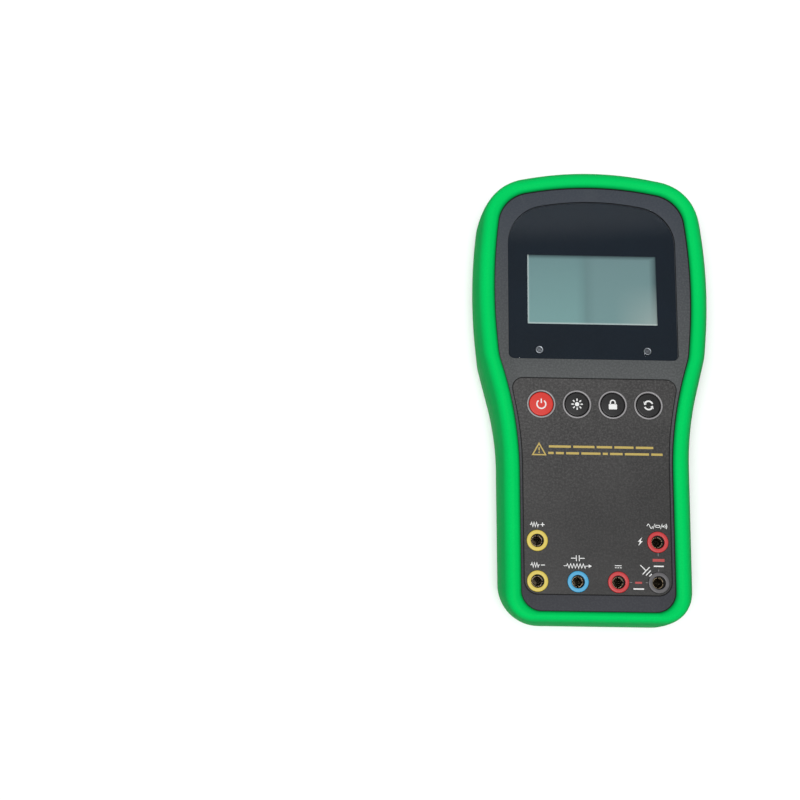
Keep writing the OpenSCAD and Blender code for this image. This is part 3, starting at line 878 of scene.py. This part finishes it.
def front_cover():
    """Front cover: face with recesses, the deck below them, and the side wall."""
    key_hole_d, socket_hole_d = 12.2, 8.4
    display_hole_w, display_hole_l = 66, 37.6
    display = centre("lcd_glass")
    holes = [circle(p.x, p.y, key_hole_d) for p in key_places()]
    holes += [circle(p.x, p.y, socket_hole_d) for p in socket_places()]
    display_hole = box_outline(display.x, display.y, display_hole_w, display_hole_l)
    outline = family(CASE_OUTSIDE)
    recesses = [grown(WINDOW_CORNERS, 0.15), grown(LABEL_CORNERS, 0.35)]
    face = slab("cover_face", outline, recesses, LABEL_FLOOR_Z, FACE_Z, top_round=0.16)
    ledge = slab("cover_ledge", family(CASE_OUTSIDE - 0.01), [grown(WINDOW_CORNERS, 0.16)] + holes,
                 DECK_Z, LABEL_FLOOR_Z, top_round=0)
    deck = slab("cover_deck", outline, holes + [display_hole], FACE_UNDER_Z, DECK_Z, top_round=0)
    wall = slab("cover_wall", outline, [family(CASE_INSIDE)], SPLIT_Z, FACE_UNDER_Z, top_round=0)
    for part in (face, deck, wall):
        dress(part, "case_plastic")
    # The ledge shows only at the floor of the gaps round the label and its holes; its black is painted
    # shade there.
    dress(ledge, "gap_shade_black")
    obj = join("front_shell", [face, ledge, deck, wall])
    obj.data.set_sharp_from_angle(angle=math.radians(45))
    piece(obj, METER, "case_plastic", ["front_cover"])
    # A thin black band under the boot's lip edge: painted shade in the gap between lip and cover.
    seam = slab("lip_gap_shade", family(0.06), [family(-0.03)], FACE_Z - 0.02, FACE_Z + 0.03, 0)
    piece(seam, METER, "case_plastic", material="gap_shade_black")


def hinge_pivot():
    hinge = next(joint for joint in frame["joints"] if joint["name"] == "stand_hinge")
    return Vector(hinge["pos_m"]) / MM


def rear_cover():
    """Rear cover: back plate with the stand's pocket and screw holes, a trench for the hinge, walls."""
    play = 0.4      # round the kickstand
    sheet = 1       # thickness of the roofs of the pocket and the trench
    head_hole_d, seat_d, shank_hole_d = 5.8, 7, 3.4
    low = span("kickstand")[0]
    pivot = hinge_pivot()
    wide = STAND_W + 2 * play
    trench_l = 2 * (pivot.z - low.z + play)
    pocket_l = pivot.y + trench_l / 2 - low.y + play
    pocket_y = low.y - play + pocket_l / 2
    roof_z = low.z + STAND_T + play
    trench_z = pivot.z + BARREL_R + play
    pocket = box_outline(0, pocket_y, wide, pocket_l, 1.2)
    trench = box_outline(0, pivot.y, wide, trench_l)
    pocket_backing = box_outline(0, pocket_y, wide + 3, pocket_l + 3)
    trench_backing = box_outline(0, pivot.y, wide + 3, trench_l + 3)
    outline = family(CASE_OUTSIDE)
    screws = [circle(x, y, head_hole_d, 32) for x, y in case_screw_places()]
    parts = [
        slab("back_plate", outline, [pocket] + screws, CASE_Z, roof_z, 0, foot_round=0.3),
        slab("pocket_roof", pocket_backing, [trench], roof_z, roof_z + sheet, 0),
        slab("trench_rim", trench_backing, [trench], roof_z + sheet, trench_z, 0),
        slab("trench_roof", trench_backing, [], trench_z, trench_z + sheet, 0),
        slab("rear_wall", outline, [family(CASE_INSIDE)], roof_z, SPLIT_Z - 0.05, 0),
    ]
    for x, y in case_screw_places():
        seat, hole = circle(x, y, seat_d, 32), circle(x, y, shank_hole_d, 32)
        parts.append(slab("screw_seat", seat, [hole], CASE_Z + 3, SPLIT_Z - 0.2, 0))
    obj = join("rear_shell", parts)
    piece(obj, METER, "case_plastic", ["rear_cover"], material="back_plastic")


def case_screw_places():
    head_r, closer_at_foot = 2.7, 5
    low, high = span("case_screws")
    outer = high.x - head_r
    places = []
    for x, y in ((outer, high.y - head_r), (outer - closer_at_foot, low.y + head_r)):
        places += [(-x, y), (x, y)]
    return places


def kickstand():
    """Stand plate with a hand hole and grip ribs, on a round barrel with two pins."""
    low, high = span("kickstand")
    pivot = hinge_pivot()
    long = pivot.y - low.y
    middle_y = pivot.y - long / 2
    side, head, toe = 8, 21, 13
    corners = [(STAND_W / 2, -long / 2, 6, 5), (STAND_W / 2, long / 2, 1, 2)]
    outline = [(x, y + middle_y) for x, y in rounded(both_sides(corners), 2)]
    opening = box_outline(0, middle_y - (head - toe) / 2, STAND_W - 2 * side, long - head - toe, 4, 6)
    plate = slab("stand_plate", outline, [opening], low.z, low.z + STAND_T, 0.3, 0.5)
    ribs = []
    rib_count, rib_pitch, rib_long, rib_wide, rib_tall = 5, 1.8, 24, 0.9, 0.35
    for i in range(rib_count):
        rib = box_outline(0, low.y + 5 + rib_pitch * i, rib_long, rib_wide, 0.4)
        ribs.append(slab("stand_rib", rib, [], low.z - rib_tall, low.z + 0.2, 0, 0.2))
    barrel = turned_along_x("stand_barrel", pivot, [(BARREL_R, STAND_W / 2), (PIN_R, high.x)])
    obj = join("back_stand", [plate, barrel] + ribs)
    piece(obj, "stand", "case_plastic", ["kickstand"], material="back_plastic")


def turned_along_x(name, pivot, steps):
    """A stepped round bar along X, the same both ways: steps are (radius, reach) from the middle."""
    profile = [(0, -steps[-1][1])]
    for radius, reach in reversed(steps):
        profile += [(radius - 0.2, -reach), (radius, -reach + 0.2)]
        if radius != steps[0][0]:
            profile.append((radius, -steps[0][1]))
    profile += [(r, -z) for r, z in reversed(profile)]
    obj = lathe(name, profile, steps=40)
    for vertex in obj.data.vertices:
        x, y, z = vertex.co
        vertex.co = (z + pivot.x * MM, y + pivot.y * MM, -x + pivot.z * MM)
    return obj


# -------- window and display

def window():
    """Clear plate over its black print, both with holes for the two screws."""
    plate_hole_d, print_hole_d = 4.1, 2.2
    view_w, view_l = 64, 35.6
    low, high = span("window_lens")
    screws = window_screw_places()
    holes = [circle(x, y, plate_hole_d, 48) for x, y in screws]
    plate = slab("window_plate", grown(WINDOW_CORNERS, 0.05), holes, low.z, high.z, 0.2)
    piece(plate, METER, "window_clear", ["window_lens"])
    print_low, print_high = span("window_mask")
    display = centre("lcd_glass")
    holes = [circle(x, y, print_hole_d, 32) for x, y in screws]
    holes.append(box_outline(display.x, display.y, view_w, view_l, 0.3))
    mask = slab("window_border", grown(WINDOW_CORNERS, 0), holes, print_low.z, print_high.z - 0.01, 0)
    piece(mask, METER, "window_black", ["window_mask"])


def window_screw_places():
    low, high = span("window_screws")
    y = (low.y + high.y) / 2
    return [(low.x + WINDOW_SCREW_R, y), (high.x - WINDOW_SCREW_R, y)]


def window_screws():
    """Two small round-headed screws with a deep socket, darkened by a lining of darker steel as painted
    shade.
    """
    low, high = span("window_screws")
    shank_r, recess_r, edge = 0.95, 1.15, 0.35
    seat_z = high.z - 0.9
    floor_z = high.z - 0.55
    heads, sockets = [], []
    for x, y in window_screw_places():
        profile = [(0, low.z), (0.5, low.z), (shank_r, low.z + 0.6), (shank_r, seat_z)]
        profile += [(WINDOW_SCREW_R, seat_z)]
        profile += arc(WINDOW_SCREW_R - edge, high.z - 0.4, edge, 0, 90, 8)
        profile += [(recess_r + 0.1, high.z - 0.05), (recess_r, high.z - 0.15)]
        profile += [(recess_r, floor_z - 0.1), (0, floor_z - 0.1)]
        heads.append(lathe("screw", profile, x, y, 48))
        # A cup of darker steel lines each socket: painted shade inside it.
        wall_r = recess_r - 0.02
        cup = [(0, floor_z - 0.08), (wall_r, floor_z - 0.08), (wall_r, high.z - 0.2)]
        cup += [(recess_r - 0.12, high.z - 0.2), (recess_r - 0.25, floor_z)]
        cup += [(0.35, floor_z + 0.02), (0.3, floor_z + 0.12), (0, floor_z + 0.12)]
        sockets.append(lathe("socket", cup, x, y, 6))
    for name, parts, material in (
        ("window_screw_sockets", sockets, "socket_shade_steel"),
        ("window_screw_pair", heads, "dark_steel"),
    ):
        piece(join(name, parts), METER, "steel", ["window_screws"], material=material)


# -------- label panel

def label_panel():
    key_hole_d, socket_hole_d = 14.1, SOCKET_D + 0.2
    holes = [circle(p.x, p.y, key_hole_d) for p in key_places()]
    holes += [circle(p.x, p.y, socket_hole_d) for p in socket_places()]
    obj = slab("label_sheet", grown(LABEL_CORNERS, -0.1), holes, LABEL_FLOOR_Z, LABEL_Z, 0.12)
    piece(obj, METER, "label_film", ["label_panel"])


def line(points, width, closed=False):
    return ("line", points, width, closed)


def stroke(x0, y0, x1, y1, width):
    return line([(x0, y0), (x1, y1)], width)


def moved(shapes, x, y, turn=0.0, size=1.0):
    """Shapes turned by degrees, scaled, and placed at a point."""
    c, s = math.cos(math.radians(turn)), math.sin(math.radians(turn))

    def place(p):
        px, py = p[0] * size, p[1] * size
        return (x + c * px - s * py, y + s * px + c * py)

    return [(kind, [place(p) for p in points], *rest) for kind, points, *rest in shapes]


def plus_sign():
    return minus_sign() + [stroke(0, -1.05, 0, -0.2, 0.4), stroke(0, 0.2, 0, 1.05, 0.4)]


def minus_sign():
    return [stroke(-1.05, 0, 1.05, 0, 0.4)]


def zigzag(teeth=3, pitch=1.15, tall=1.05, lead=0.5, width=0.34):
    """Resistor zigzag between two short leads."""
    half = teeth * pitch / 2
    points = [(-half - lead, 0), (-half, 0)]
    for i in range(teeth):
        x = -half + pitch * i
        points += [(x + pitch / 4, tall), (x + 3 * pitch / 4, -tall)]
    return [line(points + [(half, 0), (half + lead, 0)], width)]


def resistor_box():
    box = [(-0.85, -0.5), (0.85, -0.5), (0.85, 0.5), (-0.85, 0.5)]
    leads = [stroke(side * 0.85, 0, side * 1.3, 0, 0.28) for side in (-1, 1)]
    return [line(box, 0.28, True)] + leads


def capacitor():
    shapes = []
    for side in (-1, 1):
        shapes.append(stroke(side * 3.2, 0, side * 0.8, 0, 0.36))
        shapes.append(stroke(side * 0.7, -1.35, side * 0.7, 1.35, 0.38))
    return shapes


def drain():
    """Discharge path: a long zigzag resistor with an arrow at its end."""
    arrow = ("patch", [(7.4, 0), (5.9, 0.8), (5.9, -0.8)])
    return zigzag(teeth=6, pitch=1.5, tall=1.0, lead=1.4, width=0.28) + [arrow]


def direct_current():
    dashes = [stroke(x - 0.45, -0.55, x + 0.45, -0.55, 0.34) for x in (-1.4, 0, 1.4)]
    return [stroke(-1.85, 0.6, 1.85, 0.6, 0.34)] + dashes


def sine():
    half = 1.35
    points = [(half * (i / 10 - 1), math.sin(2 * math.pi * i / 20)) for i in range(21)]
    return [line(points, 0.32)]


def slash():
    return [stroke(-0.45, -1.2, 0.45, 1.2, 0.26)]


def sound():
    """A dot and two waves."""
    shapes = [("patch", circle(-0.9, 0, 0.9, 16))]
    for r in (1.05, 1.85):
        shapes.append(line(arc(-0.9, 0, r, -42, 42, 8), 0.34))
    return shapes


def earth():
    """Common terminal: a stem on three bars."""
    bars = [(half, 0.4 - 1.25 * i) for i, half in enumerate((2.1, 1.4, 0.7))]
    return [stroke(0, 3.6, 0, 0.6, 0.42)] + [stroke(-half, y, half, y, 0.42) for half, y in bars]


def warning_mark():
    """A triangle with a dot and a bar in it."""
    triangle = [(-3.1, -2.6), (3.1, -2.6), (0, 2.9)]
    dot = ("patch", circle(0, -1.4, 0.75, 16))
    return [line(triangle, 0.62, True), dot, stroke(0, -0.6, 0, 1.0, 0.55)]


def bolt():
    return [("patch", [(0.55, 1.9), (-1, -0.25), (-0.1, -0.05), (-0.6, -1.9), (1, 0.35), (0.1, 0.15)])]


def power_mark():
    return [line(arc(0, -0.2, 2.15, 128, 412, 28), 0.62), stroke(0, 0.3, 0, 2.45, 0.62)]


def lamp_mark():
    shapes = [("patch", circle(0, 0, 2.1, 24))]
    for i in range(8):
        w = math.radians(45 * i)
        shapes.append(line([polar(1.65, w), polar(2.75, w)], 0.6))
    return shapes


def hold_mark():
    """A closed padlock."""
    shackle = [(1.15, 0.2)] + arc(0, 1.1, 1.15, 0, 180, 12) + [(-1.15, 0.2)]
    return [line(shackle, 0.6), ("patch", box_outline(0, -0.95, 4, 2.6, 0.4, 3))]


def mode_mark():
    """Two arrows round a centre."""
    r = 2.05
    shapes = []
    for side in (0, 180):
        tip, tail = math.radians(178 + side), math.radians(142 + side)
        head = [polar(r, tip), polar(r + 1, tail), polar(r - 1, tail)]
        shapes += [line(arc(0, 0, r, 22 + side, 146 + side, 14), 0.74), ("patch", head)]
    return shapes


def greek(words, tall):
    """A centred row of plain bars, one for each given word length, where small print would be."""
    gap = 1.1
    x = -(sum(words) + gap * (len(words) - 1)) / 2
    shapes = []
    top = tall / 2
    for long in words:
        shapes.append(("patch", [(x, -top), (x + long, -top), (x + long, top), (x, top)]))
        x += long + gap
    return shapes


def legends():
    """All printed marks of the label panel, by ink, placed round the socket they belong to."""
    inks = {"white": [], "red": [], "yellow": [], "line": []}
    spots = {name: centre(name + "_socket") for name in SOCKETS}
    spots["notice"] = (0, centre("power_key").y - 22.3)

    def put(ink, shapes, spot, x=0, y=0, **how):
        inks[ink] += moved(shapes, spots[spot][0] + x, spots[spot][1] + y, **how)

    above = 7.5     # from a socket's centre up to its marks
    for name, sign in (("lcr_plus", plus_sign), ("lcr_minus", minus_sign)):
        put("white", zigzag(), name, -1.15, above)
        put("white", sign(), name, 2.55, above, size=0.9)
    put("white", capacitor(), "discharge", 0, 10.9)
    put("white", drain(), "discharge", -0.8, above - 0.2)
    put("white", direct_current(), "amp", 0, above - 0.3, size=0.85)
    put("white", sine(), "volt", -3.6, above)
    put("white", slash(), "volt", -1.6, above)
    put("white", resistor_box(), "volt", 0.15, above)
    put("white", slash(), "volt", 1.9, above)
    put("white", sound(), "volt", 3.6, above, size=0.95)
    put("white", bolt(), "volt", -8.3, 0.2, turn=-8, size=1.15)
    put("white", greek([4.7], 0.6), "volt", 0.1, -11.3)
    put("white", earth(), "com", -5.6, 5.2, turn=45, size=1.15)
    put("white", greek([5], 0.6), "amp", 9.4, -3.0)
    put("red", greek([5.6], 1.3), "volt", 0.1, -8.5)
    put("red", greek([3.2], 0.9), "amp", 9.4, -0.1)
    put("line", [stroke(0, -5.2, 0, -6.6, 0.3)], "volt")
    put("line", [stroke(0, 5.2, 0, 6.2, 0.3), stroke(-6.2, 0, -5.2, 0, 0.3)], "com")
    put("line", [stroke(5.2, 0, 6.4, 0, 0.3)], "amp")
    put("yellow", warning_mark(), "notice", -27.2)
    put("yellow", greek([10.6, 10.2, 7.4, 9.2, 8.4], 1.1), "notice", 2.6, 1.5)
    put("yellow", greek([2.6, 3.8, 6.2, 9.2, 2.4, 6, 11.6, 5.4], 1.1), "notice", 4.6, -1.7)
    return inks


def print_legends():
    for ink, shapes in legends().items():
        piece(printed("legend_" + ink, shapes, LABEL_Z), METER, "label_film", material="ink_" + ink)


# -------- keys

def keys():
    """Domed caps with a flange and stem, and a printed mark on each."""
    cap_r, flange_r, stem_r, edge = 5.85, 6.7, 2, 0.55
    crown = 0.1     # height of the dome over the cap's edge
    flange_low_z = FACE_UNDER_Z - 1.5
    flange_high_z = FACE_UNDER_Z - 0.4
    marks = {"power": power_mark, "lamp": lamp_mark, "hold": hold_mark, "mode": mode_mark}
    for key in KEYS:
        node = key + "_key"
        low, high = span(node)
        p = centre(node)
        slot = "key_red" if key == "power" else "key_dark"
        edge_z = high.z - crown
        profile = [(0, low.z), (stem_r, low.z), (stem_r, flange_low_z), (flange_r, flange_low_z)]
        profile += [(flange_r, flange_high_z), (cap_r, flange_high_z), (cap_r, edge_z - edge)]
        profile += arc(cap_r - edge, edge_z - edge, edge, 10, 90, 8)
        for i in range(7):
            out = 1 - i / 6
            profile.append((cap_r * 0.8 * out, high.z - crown * out ** 2))
        cap = lathe(key + "_cap", profile, p.x, p.y)
        piece(cap, key + "_button", slot, [node])
        mark = printed(key + "_mark", moved(marks[key](), p.x, p.y), high.z - 0.03, 0.045)
        piece(mark, key + "_button", slot, material="ink_white")


def key_rings():
    inner, outer, edge = 6.1, 6.95, 0.3
    top = span("key_rings")[1].z
    profile = [(inner, LABEL_FLOOR_Z), (outer, LABEL_FLOOR_Z), (outer, top - edge)]
    profile += arc(outer - edge, top - edge, edge, 10, 90, 6)
    profile += arc(inner + edge, top - edge, edge, 90, 180, 6)
    rings = [lathe("ring", profile, p.x, p.y) for p in key_places()]
    piece(join("key_trim_rings", rings), METER, "ring_grey", ["key_rings"])


# -------- sockets

def sockets():
    """Coloured flange and dark bore of each socket, and the slotted sleeve inside it."""
    flange_r, hole_r, body_r, seat_r, edge = SOCKET_D / 2, 3.1, 4.1, 2.85, 0.45
    for name, colour in SOCKETS.items():
        low, high = span(name + "_socket")
        p = centre(name + "_socket")
        top = high.z
        sleeve_top = span(name + "_sleeve")[1].z
        rim = [(hole_r + 0.35, top - 1.6), (flange_r - 0.05, LABEL_FLOOR_Z), (flange_r, LABEL_FLOOR_Z)]
        rim += [(flange_r, top - edge)] + arc(flange_r - edge, top - edge, edge, 10, 90, 7)
        rim += arc(hole_r + 0.3, top - 0.3, 0.3, 90, 175, 7)
        rim += [(hole_r, top - 0.7), (hole_r + 0.35, top - 1.1)]
        flange = lathe(name + "_flange", rim, p.x, p.y)
        piece(flange, METER, "socket_" + colour, [name + "_socket"])
        tube = [(body_r, low.z), (body_r, LABEL_FLOOR_Z), (hole_r + 0.36, top - 1.05)]
        tube += [(hole_r, top - 0.75), (hole_r, sleeve_top), (seat_r, sleeve_top), (seat_r, low.z)]
        bore = lathe(name + "_bore", tube, p.x, p.y)
        piece(bore, METER, "socket_" + colour, [name + "_socket"], material="socket_bore")
        piece(sleeve(name, p.x, p.y), METER, "brass", [name + "_sleeve"])


def sleeve(name, x, y):
    """Contact sleeve with a chamfered mouth, split by four slots in its upper part."""
    low, high = span(name + "_sleeve")
    outer, bore, floor = 2.8, 2.02, 0.8
    slot = math.radians(13)     # width of a slot, as an angle
    sweep = math.pi / 2 - slot
    steps = 10
    split_z = high.z - 8
    section = [(outer, split_z), (outer, high.z - 0.35), (outer - 0.3, high.z)]
    section += [(bore + 0.35, high.z), (bore, high.z - 0.4), (bore, split_z)]
    count = len(section)
    parts = []
    for quarter in range(4):
        start = quarter * math.pi / 2 + slot / 2
        verts = []
        for i in range(steps + 1):
            w = start + sweep * i / steps
            verts += [(*polar(r, w, x, y), z) for r, z in section]
        faces = [tuple(range(count)), tuple(range(count * (steps + 1) - 1, count * steps - 1, -1))]
        for i in range(steps):
            faces += band(i * count, (i + 1) * count, count)
        parts.append(mesh_object("finger", verts, faces))
    tube = [(0, low.z), (outer - 0.3, low.z), (outer, low.z + 0.3), (outer, split_z)]
    tube += [(bore, split_z), (bore, low.z + floor), (0, low.z + floor)]
    parts.append(lathe("cup", tube, x, y, 64))
    obj = join(name + "_contact", parts)
    obj.data.set_sharp_from_angle(angle=math.radians(35))
    return obj


# -------- CAD nodes that stay

KEPT = {
    "board_green": ["main_board", "display_board"],
    "lcd": ["lcd_glass"],
    "black_plastic": ["lcd_frame", "display_header", "chips", "buzzer"],
    "backlight_white": ["backlight"],
    "steel": ["tact_switches", "crystal", "usb_port", "case_screws", "board_screws", "display_screws"],
    "capacitor_sleeve": ["capacitors"],
    "fuse_glass": ["fuse_tube"],
    "bright_brass": ["fuse_clips"],
    "copper": ["shunt_wire"],
    "ceramic_white": ["discharge_resistor"],
    "battery_foil": ["battery_pack"],
    "socket_ivory": ["battery_socket"],
    "lead_red": ["battery_leads"],
}


def dress_kept_nodes():
    """Gives the inner CAD parts their materials; their shapes stay as they are."""
    for material, nodes in KEPT.items():
        for node in nodes:
            dress(frame["nodes"][node], material)


# -------- studio

def studio():
    camera = placed("camera", bpy.data.cameras.new("camera"))
    camera.data.sensor_width = 36
    camera.data.lens = 54
    camera.location = (-0.1002, -0.1283, 0.6065)
    camera.rotation_euler = [math.radians(a) for a in (12.045, -0.779, 0.817)]
    scene.camera = camera

    size = 3
    bpy.ops.mesh.primitive_plane_add(size=2 * size)
    floor = bpy.context.object
    floor.name = "floor"
    floor.data.materials.append(floor_paper())

    soft_sun(direction=(-0.15, -0.18, 1), spread=30, power=3.55)
    sky()
    scene.view_settings.view_transform = "Standard"
    scene.view_settings.look = "None"


def soft_sun(direction, spread, power):
    """Wide soft light from a direction, its spread in degrees."""
    data = bpy.data.lights.new("soft_light", "SUN")
    data.angle = math.radians(spread)
    data.energy = power
    light = placed("soft_light", data)
    light.rotation_euler = Vector(direction).to_track_quat("Z", "Y").to_euler()


def sky():
    """Dim surroundings, pale at the horizon, with a soft panel overhead past the display end."""
    world = bpy.data.worlds.new("studio")
    world.use_nodes = True
    scene.world = world
    nodes = Nodes(world.node_tree, "Generated")
    horizon = nodes.remap(nodes.axis("Z"), 0.05, 0.35, 0.6, 0.05)
    overhead = nodes.remap(nodes.axis("Z"), 0.8, 0.88)
    beyond = nodes.remap(nodes.axis("Y"), 0.333, 0.348, 0.04, 0.58)
    level = nodes.math("ADD", horizon, nodes.math("MULTIPLY", overhead, beyond))
    background = world.node_tree.nodes["Background"]
    nodes.feed(background, {"Color": (0.92, 0.97, 1.0, 1), "Strength": level})


boot()
front_cover()
rear_cover()
kickstand()
window()
window_screws()
label_panel()
print_legends()
keys()
key_rings()
sockets()
dress_kept_nodes()
studio()
